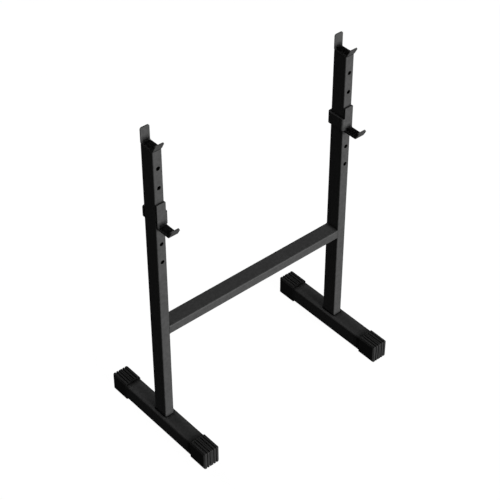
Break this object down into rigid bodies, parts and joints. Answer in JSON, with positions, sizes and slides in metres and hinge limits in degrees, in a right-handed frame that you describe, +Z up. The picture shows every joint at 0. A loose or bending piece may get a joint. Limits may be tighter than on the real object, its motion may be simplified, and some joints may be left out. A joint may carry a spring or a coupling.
{
  "type": "squat stand",
  "caption": "Free-standing steel squat stand: uprights on long feet joined by a crossbar, with bar cradles on top and swing-off hook brackets lower down.",
  "frame": {"origin": "on the floor, midway between the two uprights, below their middle depth", "axes": "+Z up; -Y to the front, where the hooks and the holes face; +X from the left upright to the right one, so the crossbar runs along X and the feet along Y"},
  "size_m": [0.985, 0.5906, 1.4458],
  "materials": {
    "coated_steel": "satin black powder coat",
    "cap_rubber": "matte moulded",
    "peg_steel": "zinc plated"
  },
  "bodies": {
    "frame": {"crossbar": "coated_steel", "base_tube_left": "coated_steel", "end_cap_left_front": "cap_rubber", "end_cap_left_back": "cap_rubber", "upright_left": "coated_steel", "cradle_left": "coated_steel", "base_tube_right": "coated_steel", "end_cap_right_front": "cap_rubber", "end_cap_right_back": "cap_rubber", "upright_right": "coated_steel", "cradle_right": "coated_steel"},
    "hook_left": {"hook_bracket_left": "coated_steel", "hook_peg_left": "peg_steel"},
    "hook_right": {"hook_bracket_right": "coated_steel", "hook_peg_right": "peg_steel"}
  },
  "joints": [
    {"name": "hook_left_swing", "type": "hinge", "parent": "frame", "child": "hook_left", "pos_m": [-0.455, 0, 1.1306], "axis": [0, -1, 0], "range_deg": [0, 100]},
    {"name": "hook_right_swing", "type": "hinge", "parent": "frame", "child": "hook_right", "pos_m": [0.455, 0, 1.1306], "axis": [0, 1, 0], "range_deg": [0, 100]}
  ]
}
